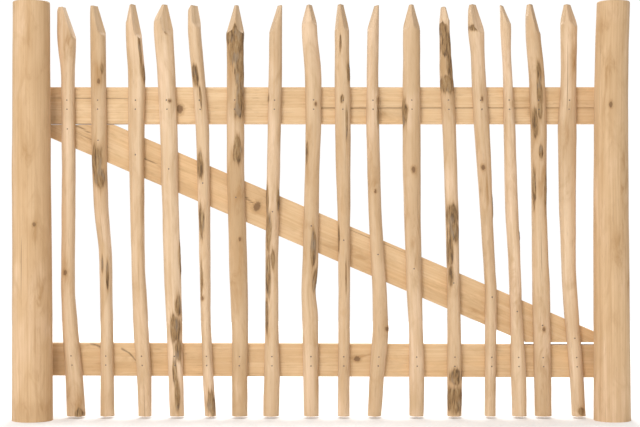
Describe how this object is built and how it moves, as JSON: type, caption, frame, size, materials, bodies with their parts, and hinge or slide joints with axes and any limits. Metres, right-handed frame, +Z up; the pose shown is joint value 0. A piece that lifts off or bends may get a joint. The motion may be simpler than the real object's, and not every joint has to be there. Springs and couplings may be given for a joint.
{
  "type": "garden gate",
  "caption": "Low timber picket gate: a braced leaf of cleft hewn pickets on sawn rails, hung by strap hinges behind a round post, with a slide bolt on the back.",
  "frame": {"origin": "on the ground, on the axis of the hanging post", "axes": "+X away from the latch post, +Y to the back of the gate (the side the leaf opens to), +Z up"},
  "size_m": [1.4804, 0.1796, 1],
  "materials": {
    "peeled_wood": "matt",
    "sawn_wood": "matt",
    "cleft_wood": "matt",
    "nail_steel": "satin",
    "galvanised": "satin"
  },
  "bodies": {
    "posts": {"hanging_post": "peeled_wood", "latch_post": "peeled_wood", "upper_pintle": "galvanised", "lower_pintle": "galvanised", "bolt_keeper": "galvanised"},
    "leaf": {"top_rail": "sawn_wood", "bottom_rail": "sawn_wood", "brace": "sawn_wood", "picket_01": "cleft_wood", "picket_02": "cleft_wood", "picket_03": "cleft_wood", "picket_04": "cleft_wood", "picket_05": "cleft_wood", "picket_06": "cleft_wood", "picket_07": "cleft_wood", "picket_08": "cleft_wood", "picket_09": "cleft_wood", "picket_10": "cleft_wood", "picket_11": "cleft_wood", "picket_12": "cleft_wood", "picket_13": "cleft_wood", "picket_14": "cleft_wood", "picket_15": "cleft_wood", "picket_16": "cleft_wood", "top_rail_nails": "nail_steel", "bottom_rail_nails": "nail_steel", "brace_nails": "nail_steel", "upper_strap": "galvanised", "lower_strap": "galvanised", "strap_screws": "galvanised", "bolt_plate": "galvanised", "bolt_plate_screws": "galvanised"},
    "bolt": {"slide_bolt": "galvanised"}
  },
  "joints": [
    {"name": "leaf_swing", "type": "hinge", "parent": "posts", "child": "leaf", "pos_m": [0, 0.0891, 0], "axis": [0, 0, -1], "range_deg": [0, 110]},
    {"name": "bolt_slide", "type": "slide", "parent": "leaf", "child": "bolt", "axis": [-1, 0, 0], "range_m": [0, 0.05]}
  ]
}
